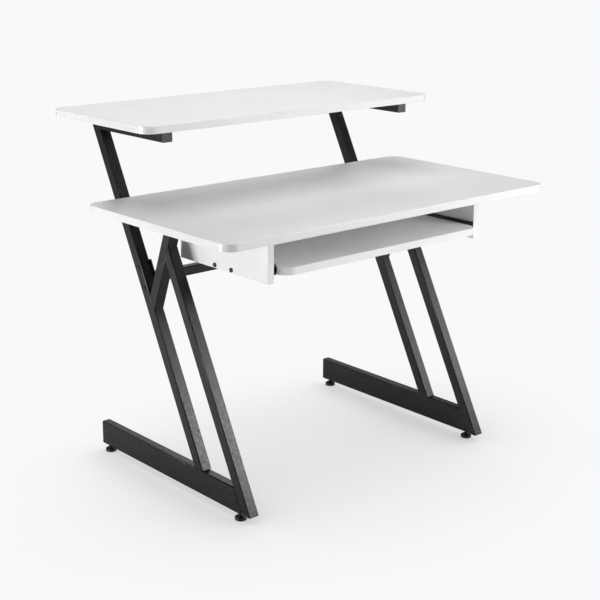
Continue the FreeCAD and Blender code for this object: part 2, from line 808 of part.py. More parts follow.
def channel(web_x, depth, inward, front, length, low, high, lip):
    """A rolled channel that lies along Y. web_x is its back and inward is where it opens."""
    sheet_thick = size("slide_sheet")

    def strip(x_from, x_to, z_from, z_to):
        left = min(x_from, x_to)
        return Part.makeBox(abs(x_to - x_from), length, z_to - z_from, Vector(left, front, z_from))

    far = web_x + inward * depth
    pieces = [
        strip(web_x, far, low, low + sheet_thick),
        strip(web_x, far, high - sheet_thick, high),
    ]
    if lip:
        pieces.append(strip(far, far - inward * sheet_thick, low, low + lip))
        pieces.append(strip(far, far - inward * sheet_thick, high - lip, high))
    web = strip(web_x, web_x + inward * sheet_thick, low, high)
    return web.fuse(pieces).removeSplitter()


# Ball slides: a fixed channel on each panel, one that rides on the tray and a ball cage.
low = size("slide_level") - size("slide_drop") / 2
high = size("slide_level") + size("slide_drop") / 2
inner_low = size("slide_level") - size("slide_inner_drop") / 2
inner_high = size("slide_level") + size("slide_inner_drop") / 2
front = size("slide_front")
slide_thick = size("slide_sheet")
ball_x = size("panel_inner") - 5
strip_from = size("panel_inner") - 6.6
CAGE_FROM = -229
CAGE_LENGTH = 60
BALL_STEP = 16
panel_screws = []
tray_screws = []
for name, side in SIDES:
    face = side * size("panel_inner")
    level = size("slide_level")
    fixed = channel(face, 8.4, -side, front, size("slide_length"), low, high, 2.6)
    for y in SLIDE_SCREW_Y:
        fixed = fixed.cut(rod(face + side * 5, y, level, 2.1, 10, along(-side)))
        seat = face - side * slide_thick
        panel_screws.append(wood_screw(seat, y, level, along(side), 12))
    keep(solids("slide_fixed_" + name, [fixed]))
    edge = side * size("tray_half")
    length = size("slide_inner_length")
    riding = channel(edge, 7, side, front, length, inner_low, inner_high, 0)
    for y in TRAY_SCREW_Y:
        riding = riding.cut(rod(edge - side * 5, y, level, 2.1, 10, along(side)))
        seat = edge + side * slide_thick
        tray_screws.append(wood_screw(seat, y, level, along(-side), 14))
    keep(solids("slide_moving_" + name, [riding]))
    balls = []
    cages = []
    for mean in ((high + inner_high - slide_thick) / 2, (low + inner_low + slide_thick) / 2):
        x = min(side * strip_from, side * (strip_from + 4.2))
        strip = Part.makeBox(4.2, CAGE_LENGTH, 0.8, Vector(x, CAGE_FROM, mean - 0.4))
        for i in range(4):
            y = CAGE_FROM + CAGE_LENGTH / 2 + (i - 1.5) * BALL_STEP
            spot = Vector(side * ball_x, y, mean)
            strip = strip.cut(rod(spot.x, spot.y, mean - 2, 2, 4, UP))
            balls.append(Part.makeSphere(size("ball_radius"), spot))
        cages.append(strip)
    keep(solids("slide_cage_" + name, cages))
    keep(solids("slide_balls_" + name, balls))
keep(solids("slide_panel_screws", panel_screws))
keep(solids("slide_tray_screws", tray_screws))


def plug(x, y, z, wide, high_side, outward, reach):
    """A plastic end plug: a flange on the tube's end and a block pushed inside it."""
    flange = Part.makeBox(wide, 2, high_side, Vector(x - wide / 2, y - 1, z - high_side / 2))
    flange.translate(Vector(0, outward, 0))
    flange = softened(
        flange, size("tube_round"), lambda edge: abs(edge.Length - 2) < 0.01
    )
    gap = 2 * (size("tube_wall") + size("clearance"))
    block = Part.makeBox(
        wide - gap,
        reach,
        high_side - gap,
        Vector(x - (wide - gap) / 2, y - reach / 2, z - (high_side - gap) / 2),
    )
    block.translate(Vector(0, -outward * reach / 2, 0))
    return flange.fuse(block).removeSplitter()


rail_plugs = []
arm_plugs = []
top_arm_plugs = []
foot_plugs = []
tube_side = size("tube_side")
for name, side in SIDES:
    x = side * (size("frame_face") - size("rail_side") / 2)
    z = size("rail_bottom") + size("rail_drop") / 2
    rail_plugs.append(plug(x, size("rail_rear"), z, size("rail_side"), size("rail_drop"), 1, 12))
    x = side * (size("frame_face") - tube_side / 2)
    z = size("arm_under") + tube_side / 2
    arm_plugs.append(plug(x, size("shelf_arm_front"), z, tube_side, tube_side, -1, 12))
    z = size("top_arm_under") + tube_side / 2
    top_arm_plugs.append(plug(x, size("top_arm_front"), z, tube_side, tube_side, -1, 12))
    bottom = size("tube_end")
    back = size("front_back") + slope * bottom
    run = size("tube_run")
    flange = Part.makeBox(tube_side, run, 2, Vector(x - tube_side / 2, back - run, bottom - 2))
    flange = softened(flange, size("tube_round"), lambda edge: abs(edge.Length - 2) < 0.01)
    block = Part.makeBox(26, 23, 10, Vector(x - 13, back - run / 2 - 9, bottom))
    foot_plugs.append(flange.fuse(block).removeSplitter())
keep(solids("rail_plugs", rail_plugs))
keep(solids("shelf_arm_plugs", arm_plugs))
keep(solids("top_arm_plugs", top_arm_plugs))
keep(solids("front_tube_plugs", foot_plugs))

# Levelling feet, each screwed into a threaded insert in its rail.
inserts = []
for name, side in SIDES:
    x = side * (size("frame_face") - size("rail_side") / 2)
    for end, y in (("front", size("foot_front")), ("rear", size("foot_back"))):
        disc = Part.makeCylinder(size("foot_radius"), 9, Vector(x, y, 0))
        disc = softened(disc, 2.5, lambda edge: abs(edge.CenterOfMass.z - 9) < 0.01)
        neck = hexagon(Vector(x, y, 9), 8, 4, UP, 3)
        stem = Part.makeCylinder(size("foot_stem"), 33, Vector(x, y, 9))
        keep(solids("foot_%s_%s" % (end, name), [disc.fuse([neck, stem]).removeSplitter()]))
        bottom = size("rail_bottom")
        flange = Part.makeCylinder(9, 1.5, Vector(x, y, bottom - 1.5))
        barrel = Part.makeCylinder(6, 15, Vector(x, y, bottom - 0.5))
        inserts.append(flange.fuse(barrel).cut(rod(x, y, 0, size("foot_stem") + 0.05, 60, UP)))
keep(solids("foot_inserts", inserts))

doc.recompute()
for item in doc.Objects:
    if "Invalid" in item.State or "Error" in item.State:
        raise RuntimeError("bad state: " + item.Label)
os.makedirs("parts", exist_ok=True)
for item in nodes:
    shape = item.Shape
    if shape.isNull() or not shape.isValid():
        raise RuntimeError("bad shape: " + item.Label)
    shape.exportStep("parts/%s.step" % item.Label)
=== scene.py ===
"""A computer desk with a raised rear shelf and a keyboard tray on ball slides.

White laminate boards with glossy edge bands stand on two Z-shaped side frames of
black powder-coated steel tube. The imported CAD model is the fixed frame; each visible
part is rebuilt here with rounded edges, end plugs, weld beads and its own finish.
"""

import json
import math

import bmesh
import bpy
from bpy.props import FloatProperty, FloatVectorProperty, PointerProperty
from mathutils import Matrix, Vector


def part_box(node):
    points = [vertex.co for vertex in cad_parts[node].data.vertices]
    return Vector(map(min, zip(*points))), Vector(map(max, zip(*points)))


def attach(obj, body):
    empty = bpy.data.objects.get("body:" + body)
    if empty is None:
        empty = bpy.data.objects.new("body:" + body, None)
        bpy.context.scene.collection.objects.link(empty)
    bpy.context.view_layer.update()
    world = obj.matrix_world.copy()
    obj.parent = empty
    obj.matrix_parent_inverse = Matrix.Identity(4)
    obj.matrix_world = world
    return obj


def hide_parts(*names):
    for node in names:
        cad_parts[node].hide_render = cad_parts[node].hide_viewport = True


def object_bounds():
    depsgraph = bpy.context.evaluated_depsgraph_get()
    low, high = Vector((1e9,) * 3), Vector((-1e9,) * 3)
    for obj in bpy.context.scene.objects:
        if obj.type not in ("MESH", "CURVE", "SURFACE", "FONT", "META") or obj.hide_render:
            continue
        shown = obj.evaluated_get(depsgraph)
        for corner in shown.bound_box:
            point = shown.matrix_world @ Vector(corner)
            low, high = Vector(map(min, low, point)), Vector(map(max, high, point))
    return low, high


bl_info = {
    "name": "Computer Desk with Keyboard Tray",
    "version": (1, 0, 0),
    "blender": (4, 5, 0),
    "location": "View3D > Sidebar > Desk",
    "description": "Builds the visible parts and finishes of a computer desk on its CAD frame",
    "category": "Object",
}

MM = 0.001
# The two side frames, and the way each one faces along X.
SIDES = {"left": -1, "right": 1}
X, Y, Z = Vector((1, 0, 0)), Vector((0, 1, 0)), Vector((0, 0, 1))

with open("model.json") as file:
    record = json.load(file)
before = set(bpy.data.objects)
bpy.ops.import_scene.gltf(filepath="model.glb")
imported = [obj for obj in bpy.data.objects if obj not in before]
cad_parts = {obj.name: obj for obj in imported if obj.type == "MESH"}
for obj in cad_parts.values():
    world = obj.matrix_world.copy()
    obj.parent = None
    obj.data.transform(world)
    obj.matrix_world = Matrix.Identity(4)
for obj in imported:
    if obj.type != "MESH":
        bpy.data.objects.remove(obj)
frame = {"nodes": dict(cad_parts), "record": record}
cad_low, cad_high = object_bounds()

# The side frame's lines, seen from the side: how far a leg leans back and a brace leans
# forward for each unit of height, and where each back face starts.
LEG_SLOPE = 0.516
BRACE_SLOPE = 0.37
REAR_LEG_START = -150.8 * MM
FRONT_LEG_START = -309.7 * MM
BRACE_START = 4 * MM
BRACE_LEVEL = 700 * MM
TUBE = 30 * MM
LEG_RUN = TUBE * math.sqrt(1 + LEG_SLOPE**2)
BRACE_RUN = TUBE * math.sqrt(1 + BRACE_SLOPE**2)
CROSSBAR_BOLT_LEVELS = (518.6 * MM, 568.5 * MM)
SPREADER_BOLT_Y = (-194.7 * MM, -128.7 * MM)
SPREADER_BOLT_LEVEL = 618 * MM

# A board's core is smaller than its band all round, and the tray's back is nearly square.
CORE_INSET = 1.5 * MM
TRAY_BACK_CORNER = 4 * MM
CORNER_STEPS = 18
# The tray panels' front band, the hairline behind it, and the softness of their edges.
PANEL_BAND, PANEL_SEAM = 1.0 * MM, 0.12 * MM
PANEL_EDGE, PANEL_BAND_EDGE = 0.5 * MM, 0.6 * MM
# The crossbar's end plates.
PLATE_HALF_WIDTH, PLATE_HALF_LENGTH = 20 * MM, 43 * MM
PLATE_CORNER, PLATE_EDGE = 4 * MM, 0.5 * MM
BOLT_HEAD_RADIUS, BOLT_RADIUS = 6 * MM, 3 * MM
# End plugs: the flange outside the tube, and the tongue inside its wall.
PLUG_FLANGE, PLUG_EDGE = 2 * MM, 0.8 * MM
PLUG_DEPTH, PLUG_GAP = 12 * MM, 1.8 * MM
# Levelling feet: heights above the floor, then the threaded stem.
FOOT_DISC, FOOT_HEXAGON_TOP, FOOT_HEXAGON_RADIUS = 9 * MM, 13 * MM, 8 * MM
FOOT_STEM_RADIUS, FOOT_STEM_LENGTH, FOOT_PITCH = 4 * MM, 29 * MM, 1.25 * MM


def linear(code):
    """An sRGB hex colour as linear red, green, blue and alpha."""
    values = []
    for i in (1, 3, 5):
        part = int(code[i : i + 2], 16) / 255
        values.append(part / 12.92 if part <= 0.04045 else ((part + 0.055) / 1.055) ** 2.4)
    return (*values, 1.0)


class DeskSizes(bpy.types.PropertyGroup):
    """Sizes of the softened edges, welds and fittings."""

    board_rounding: FloatProperty(
        name="Board edge",
        description="Radius of the softened edge along a board's band",
        default=0.6 * MM,
        unit="LENGTH",
    )
    corner_radius: FloatProperty(
        name="Board corner",
        description="Radius of a board's rounded corners, seen from above",
        default=35 * MM,
        unit="LENGTH",
    )
    band: FloatProperty(
        name="Edge band",
        description="Thickness of the plastic band round a board",
        default=1.4 * MM,
        unit="LENGTH",
    )
    tube_rounding: FloatProperty(
        name="Tube edge",
        description="Outside corner radius of the steel tubes",
        default=2.5 * MM,
        unit="LENGTH",
    )
    weld: FloatProperty(
        name="Weld bead",
        description="Radius of the weld beads between tubes",
        default=1.7 * MM,
        unit="LENGTH",
    )


class DeskColours(bpy.types.PropertyGroup):
    """Base colours of the main finishes."""

    laminate: FloatVectorProperty(
        name="Laminate",
        description="White laminate of the boards' faces",
        subtype="COLOR",
        size=4,
        default=linear("#ebebeb"),
    )
    band: FloatVectorProperty(
        name="Edge band",
        description="Glossy plastic of the boards' edges",
        subtype="COLOR",
        size=4,
        default=linear("#eeeeee"),
    )
    panel: FloatVectorProperty(
        name="Tray panel",
        description="White laminate of the panels that carry the tray",
        subtype="COLOR",
        size=4,
        default=linear("#e9e9e9"),
    )
    powder: FloatVectorProperty(
        name="Powder coat",
        description="Black powder coat on the steel",
        subtype="COLOR",
        size=4,
        default=linear("#151517"),
    )
    plug: FloatVectorProperty(
        name="End plug",
        description="Matt plastic of the tubes' end plugs",
        subtype="COLOR",
        size=4,
        default=linear("#4a4a4d"),
    )


def sizes():
    """The sizes set in the sidebar."""
    return bpy.context.scene.desk_sizes


def colours():
    """The colours set in the sidebar."""
    return bpy.context.scene.desk_colours


# ---------------------------------------------------------------- finishes


def add(tree, kind, settings=None, inputs=None):
    """Adds one node, sets its own properties, and sets or links its inputs."""
    made = tree.nodes.new(kind)
    for name, value in (settings or {}).items():
        setattr(made, name, value)
    for name, value in (inputs or {}).items():
        if isinstance(value, bpy.types.NodeSocket):
            tree.links.new(value, made.inputs[name])
        else:
            made.inputs[name].default_value = value
    return made


def start(name, colour, roughness, metallic=0.0, ior=1.5):
    """A new material that holds a principled shader, and its tree, shader and coordinates."""
    material = bpy.data.materials.new(name)
    material.use_nodes = True
    tree = material.node_tree
    tree.nodes.clear()
    inputs = {
        "Base Color": colour,
        "Roughness": roughness,
        "Metallic": metallic,
        "IOR": ior,
    }
    shader = add(tree, "ShaderNodeBsdfPrincipled", inputs=inputs)
    add(tree, "ShaderNodeOutputMaterial", inputs={"Surface": shader.outputs[0]})
    place = add(tree, "ShaderNodeTexCoord").outputs["Object"]
    return material, tree, shader, place


def grain(tree, shader, place, size, depth, detail=3.0, stretch=(1, 1, 1)):
    """Gives the surface bumps of one real size and depth."""
    held = add(tree, "ShaderNodeMapping", inputs={"Vector": place, "Scale": stretch})
    inputs = {"Vector": held.outputs[0], "Scale": 1 / size, "Detail": detail}
    noise = add(tree, "ShaderNodeTexNoise", inputs=inputs)
    inputs = {"Height": noise.outputs["Fac"], "Distance": depth, "Strength": 1.0}
    bump = add(tree, "ShaderNodeBump", inputs=inputs)
    tree.links.new(bump.outputs[0], shader.inputs["Normal"])


def vary(tree, shader, place, size, low, high):
    """Varies roughness over the surface between two values, in patches of one real size."""
    inputs = {"Vector": place, "Scale": 1 / size, "Detail": 2.0}
    noise = add(tree, "ShaderNodeTexNoise", inputs=inputs)
    inputs = {
        "Value": noise.outputs["Fac"],
        "From Min": 0.3,
        "From Max": 0.7,
        "To Min": low,
        "To Max": high,
    }
    spread = add(tree, "ShaderNodeMapRange", inputs=inputs)
    tree.links.new(spread.outputs[0], shader.inputs["Roughness"])


def tint(tree, shader, place, size, dark, light, detail=4.0):
    """Varies the base colour between two close tones, in patches of one real size."""
    inputs = {"Vector": place, "Scale": 1 / size, "Detail": detail}
    noise = add(tree, "ShaderNodeTexNoise", inputs=inputs)
    ramp = add(tree, "ShaderNodeValToRGB", inputs={"Fac": noise.outputs["Fac"]})
    ramp.color_ramp.elements[0].position = 0.35
    ramp.color_ramp.elements[0].color = dark
    ramp.color_ramp.elements[1].position = 0.65
    ramp.color_ramp.elements[1].color = light
    tree.links.new(ramp.outputs[0], shader.inputs["Base Color"])


def shade(colour, factor):
    """A colour made darker or lighter by a factor."""
    return (*(min(1.0, part * factor) for part in colour[:3]), 1.0)


def melamine_laminate():
    """Melamine-faced board, pressed on a fine pearl plate: a soft broad sheen, no grain."""
    tone = colours().laminate
    material, tree, shader, place = start("melamine_laminate", tone, 0.42)
    tint(tree, shader, place, 90 * MM, shade(tone, 0.985), shade(tone, 1.015))
    vary(tree, shader, place, 25 * MM, 0.38, 0.46)
    # A pressed pearl is about 1 mm across; drawn at 2.5 mm so that it shows.
    grain(tree, shader, place, 2.5 * MM, 0.02 * MM)
    return material


def abs_edge_band():
    """Extruded ABS edge band, buffed after trimming: glossy, with slight waves along it."""
    material, tree, shader, place = start("abs_edge_band_gloss", colours().band, 0.2)
    vary(tree, shader, place, 12 * MM, 0.17, 0.25)
    grain(tree, shader, place, 14 * MM, 0.015 * MM, detail=1.0)
    return material


def melamine_panel():
    """Smooth melamine face of the tray's side panels, a little glossier than the top."""
    tone = colours().panel
    material, tree, shader, place = start("melamine_panel_smooth", tone, 0.3)
    tint(tree, shader, place, 70 * MM, shade(tone, 0.985), shade(tone, 1.01))
    vary(tree, shader, place, 20 * MM, 0.27, 0.35)
    grain(tree, shader, place, 2.5 * MM, 0.012 * MM)
    return material


def powder_coat():
    """Satin black powder coat on steel: a fine orange-peel skin that breaks its sheen."""
    tone = colours().powder
    material, tree, shader, place = start("powder_coated_steel", tone, 0.31, ior=1.42)
    tint(tree, shader, place, 3 * MM, shade(tone, 0.85), shade(tone, 1.2), detail=5.0)
    vary(tree, shader, place, 9 * MM, 0.27, 0.36)
    # The peel is about 0.5 mm across; drawn at 1.6 mm so that it shows.
    grain(tree, shader, place, 1.6 * MM, 0.018 * MM)
    return material


def moulded_plug():
    """Matt moulded polyethylene of the end plugs: dull, with a spark-eroded texture."""
    material, tree, shader, place = start("moulded_plug_plastic", colours().plug, 0.62)
    vary(tree, shader, place, 6 * MM, 0.56, 0.68)
    grain(tree, shader, place, 1.2 * MM, 0.03 * MM)
    return material


def moulded_foot():
    """Moulded nylon of the levelling feet: black, low sheen, a little scuffed."""
    material, tree, shader, place = start("moulded_foot_nylon", linear("#161617"), 0.5)
    vary(tree, shader, place, 5 * MM, 0.42, 0.6)
    grain(tree, shader, place, 1.0 * MM, 0.02 * MM)
    return material


def zinc_plate():
    """Bright zinc plating on small steel parts: a clouded blue-white metal."""
    material, tree, shader, place = start("zinc_plated_steel", linear("#b9bcc0"), 0.34, 1.0)
    tint(tree, shader, place, 4 * MM, linear("#a9adb2"), linear("#c6c9cc"))
    vary(tree, shader, place, 3 * MM, 0.28, 0.42)
    grain(tree, shader, place, 1.0 * MM, 0.01 * MM)
    return material


def black_oxide():
    """Black oxide on the bolts: dark and slightly oily, with a soft highlight."""
    material, tree, shader, place = start("black_oxide_bolt", linear("#141415"), 0.36)
    vary(tree, shader, place, 3 * MM, 0.3, 0.44)
    grain(tree, shader, place, 1.0 * MM, 0.01 * MM)
    return material


def black_slide():
    """Electro-coated rolled steel of the slides: thin even black with rolling lines."""
    material, tree, shader, place = start("electrocoated_slide_steel", linear("#19191a"), 0.4)
    vary(tree, shader, place, 8 * MM, 0.34, 0.46)
    # Rolling lines run along the slide, about 1 mm apart.
    grain(tree, shader, place, 1.0 * MM, 0.01 * MM, stretch=(1, 0.04, 1))
    return material


def pressed_steel():
    """Pressed steel of the ball cages: plain, lightly brushed along its length."""
    material, tree, shader, place = start("pressed_cage_steel", linear("#9a9da0"), 0.38, 1.0)
    vary(tree, shader, place, 3 * MM, 0.32, 0.44)
    grain(tree, shader, place, 0.8 * MM, 0.01 * MM, stretch=(1, 0.05, 1))
    return material


def polished_ball():
    """Polished bearing steel: a clear bright mirror with faint track marks."""
    material, tree, shader, place = start("polished_ball_steel", linear("#d3d5d7"), 0.08, 1.0)
    vary(tree, shader, place, 1 * MM, 0.06, 0.12)
    return material


def turned_beech():
    """Turned beech of the dowels: pale straight grain along the pin."""
    material, tree, shader, place = start("turned_beech_dowel", linear("#c9a377"), 0.6)
    held = add(tree, "ShaderNodeMapping", inputs={"Vector": place, "Scale": (1, 1, 0.1)})
    tint(tree, shader, held.outputs[0], 1.2 * MM, linear("#b88f62"), linear("#d6b488"))
    grain(tree, shader, place, 0.8 * MM, 0.05 * MM, stretch=(1, 1, 0.1))
    return material


# The record's material slots, each with the finish it takes.
FINISHES = {
    "laminate_board": melamine_laminate,
    "edge_band": abs_edge_band,
    "white_panel": melamine_panel,
    "powder_coat": powder_coat,
    "plug_plastic": moulded_plug,
    "foot_plastic": moulded_foot,
    "zinc_steel": zinc_plate,
    "black_bolt": black_oxide,
    "black_slide_steel": black_slide,
    "cage_steel": pressed_steel,
    "ball_steel": polished_ball,
    "dowel_wood": turned_beech,
}
made_finishes = {}


def finish(slot):
    """The finish of a material slot, made once."""
    if slot not in made_finishes:
        made_finishes[slot] = FINISHES[slot]()
    return made_finishes[slot]


# ---------------------------------------------------------------- shapes


def round_off(bm, edges, radius, segments):
    """Rounds edges, and shades only the rounded faces smooth."""
    made = bmesh.ops.bevel(
        bm,
        geom=list(edges),
        offset=radius,
        offset_type="OFFSET",
        segments=segments,
        profile=0.5,
        affect="EDGES",
        clamp_overlap=True,
        material=-1,
    )
    for face in made["faces"]:
        face.smooth = True


def block(low, high):
    """A plain box between two corners."""
    bm = bmesh.new()
    bmesh.ops.create_cube(bm, size=1)
    low, high = Vector(low), Vector(high)
    bmesh.ops.scale(bm, vec=high - low, verts=bm.verts)
    bmesh.ops.translate(bm, vec=(low + high) / 2, verts=bm.verts)
    return bm


def along(edge, axis):
    """Whether an edge runs along an axis."""
    line = (edge.verts[1].co - edge.verts[0].co).normalized()
    return abs(line.dot(axis)) > 0.999


def round_corners(bm, front, back):
    """Rounds a slab's upright corners, the front ones and the back ones by their own radii."""
    middle = sum(v.co.y for v in bm.verts) / len(bm.verts)
    for radius, at_front in ((front, True), (back, False)):
        corners = [
            e
            for e in bm.edges
            if along(e, Z) and (e.verts[0].co.y < middle) is at_front and not e.smooth
        ]
        round_off(bm, corners, radius, CORNER_STEPS)


def slab(low, high, front, back):
    """A board's core, sharp above and below, with rounded corners."""
    bm = block(low, high)
    for edge in bm.edges:
        edge.smooth = False
    round_corners(bm, front, back)
    return bm


def band_ring(low, high, front, back, thickness, softening):
    """The band round a board: its outside walls, given a thickness inwards."""
    bm = block(low, high)
    for edge in bm.edges:
        edge.smooth = False
    round_corners(bm, front, back)
    caps = [f for f in bm.faces if abs(f.normal.z) > 0.9]
    bmesh.ops.delete(bm, geom=caps, context="FACES_ONLY")
    bmesh.ops.solidify(bm, geom=list(bm.faces), thickness=thickness)
    bmesh.ops.recalc_face_normals(bm, faces=bm.faces)
    centre = (Vector(low) + Vector(high)) / 2
    rims = []
    for edge in bm.edges:
        if along(edge, Z) or len(edge.link_faces) != 2:
            continue
        walls = [f for f in edge.link_faces if abs(f.normal.z) < 0.1]
        if len(walls) == 1 and walls[0].normal.dot(walls[0].calc_center_median() - centre) > 0:
            rims.append(edge)
    round_off(bm, rims, softening, 3)
    return bm


def bar(x_low, x_high, corners, rounding, lengthways):
    """A tube seen from outside. corners maps (front or back, bottom or top) to (y, z)."""
    bm = bmesh.new()
    bmesh.ops.create_cube(bm, size=2)
    long_edges = [e for e in bm.edges if along(e, lengthways)]
    for vert in bm.verts:
        y, z = corners[(round(vert.co.y), round(vert.co.z))]
        vert.co = (x_low if vert.co.x < 0 else x_high, y, z)
    round_off(bm, long_edges, rounding, 4)
    return bm


def turned(profile, seat, outward, steps):
    """A turned part: a profile of (radius, height) points spun round an axis from its seat."""
    bm = bmesh.new()
    verts = [bm.verts.new((radius, 0, height)) for radius, height in profile]
    line = [bm.edges.new(pair) for pair in zip(verts, verts[1:])]
    bmesh.ops.spin(
        bm,
        geom=verts + line,
        cent=(0, 0, 0),
        axis=(0, 0, 1),
        angle=2 * math.pi,
        steps=steps,
        use_merge=True,
        use_duplicate=False,
    )
    bmesh.ops.remove_doubles(bm, verts=bm.verts, dist=0.002 * MM)
    bmesh.ops.recalc_face_normals(bm, faces=bm.faces)
    for face in bm.faces:
        face.smooth = True
    for edge in bm.edges:
        edge.smooth = edge.calc_face_angle(0) < math.radians(38)
    turn = Z.rotation_difference(Vector(outward)).to_matrix().to_4x4()
    bmesh.ops.transform(bm, matrix=Matrix.Translation(seat) @ turn, verts=bm.verts)
    return bm


def joined(parts):
    """Several meshes as one; the single ones are freed."""
    whole = bmesh.new()
    for part in parts:
        mesh = bpy.data.meshes.new("part")
        part.to_mesh(mesh)
        part.free()
        whole.from_mesh(mesh)
        bpy.data.meshes.remove(mesh)
    return whole


def piece(name, bm, body, slot, *nodes):
    """Makes a finished piece of the desk from a mesh: its finish, its body and its nodes."""
    mesh = bpy.data.meshes.new(name)
    bm.to_mesh(mesh)
    bm.free()
    if not mesh.polygons:
        raise RuntimeError("nothing was made for " + name)
    mesh.materials.append(finish(slot))
    obj = bpy.data.objects.new(name, mesh)
    bpy.context.scene.collection.objects.link(obj)
    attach(obj, body)
    if nodes:
        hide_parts(*nodes)
    return obj


def raked(level, start_y, shift=0.0):
    """A (y, z) point on a leg's leaning face."""
    return (start_y + LEG_SLOPE * level - shift, level)


def braced(level, shift=0.0):
    """A (y, z) point on a brace's leaning face."""
    return (BRACE_START + BRACE_SLOPE * (BRACE_LEVEL - level) - shift, level)


def brace_meets(leg_start, brace_shift, leg_shift=LEG_RUN):
    """The level at which a face of the brace meets a face of a leg."""
    reach = BRACE_START + BRACE_SLOPE * BRACE_LEVEL
    return (reach - brace_shift - leg_start + leg_shift) / (LEG_SLOPE + BRACE_SLOPE)


def weld_line(start_at, end_at, radius):
    """A bead laid from one point to another, with the ripples of a moving arc."""
    start_at, end_at = Vector(start_at), Vector(end_at)
    run = end_at - start_at
    turn = Z.rotation_difference(run.normalized()).to_matrix().to_4x4()
    tip, crest, dip = radius * 0.55, radius, radius * 0.86
    bm = bmesh.new()
    made = bmesh.ops.create_circle(bm, cap_ends=True, radius=tip, segments=10)
    ring = made["verts"]
    steps = 2 * max(3, round(run.length / (radius * 1.3)))
    for i in range(steps):
        edges = [e for e in bm.edges if all(v in ring for v in e.verts)]
        grown = bmesh.ops.extrude_edge_only(bm, edges=edges)
        ring = [g for g in grown["geom"] if isinstance(g, bmesh.types.BMVert)]
        if i == steps - 1:
            wanted = tip
        else:
            wanted = crest if i % 2 == 0 else dip
        height = run.length * (i + 1) / steps
        for vert in ring:
            flat = Vector((vert.co.x, vert.co.y, 0)).normalized() * wanted
            vert.co = (flat.x, flat.y, height)
    rims = [e for e in bm.edges if e.is_boundary]
    bmesh.ops.contextual_create(bm, geom=rims)
    bmesh.ops.recalc_face_normals(bm, faces=bm.faces)
    for face in bm.faces:
        face.smooth = True
    bmesh.ops.transform(bm, matrix=Matrix.Translation(start_at) @ turn, verts=bm.verts)
    return bm


# ---------------------------------------------------------------- operators


class DESK_OT_boards(bpy.types.Operator):
    """Build the main top, the raised shelf and the keyboard tray with their edge bands"""

    bl_idname = "desk.boards"
    bl_label = "Boards and Edge Bands"

    def execute(self, context):
        corner = sizes().corner_radius
        for node, body, back in (
            ("main_top", "desk", corner),
            ("upper_shelf", "desk", corner),
            ("keyboard_tray", "tray", TRAY_BACK_CORNER),
        ):
            low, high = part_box(node)
            core = slab(low, high, corner - CORE_INSET, back - CORE_INSET)
            piece(node + "_board", core, body, "laminate_board", node)
            low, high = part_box(node + "_edge")
            band = band_ring(low, high, corner, back, sizes().band, sizes().board_rounding)
            piece(node + "_band", band, body, "edge_band", node + "_edge")
        return {"FINISHED"}


class DESK_OT_panels(bpy.types.Operator):
    """Build the two white panels that carry the keyboard tray, each with its front band"""

    bl_idname = "desk.panels"
    bl_label = "Tray Panels"

    def execute(self, context):
        for name in SIDES:
            node = "tray_panel_" + name
            low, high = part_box(node)
            seam = low.y + PANEL_BAND
            core = block((low.x, seam, low.z), high)
            lower = [e for e in core.edges if along(e, Y) and e.verts[0].co.z < low.z + MM]
            round_off(core, lower, PANEL_EDGE, 2)
            piece(node + "_board", core, "desk", "white_panel", node)
            strip = block(low, (high.x, seam - PANEL_SEAM, high.z))
            front = [e for e in strip.edges if all(v.co.y < low.y + 0.1 * MM for v in e.verts)]
            round_off(strip, front, PANEL_BAND_EDGE, 3)
            piece(node + "_front_band", strip, "desk", "edge_band")
        return {"FINISHED"}


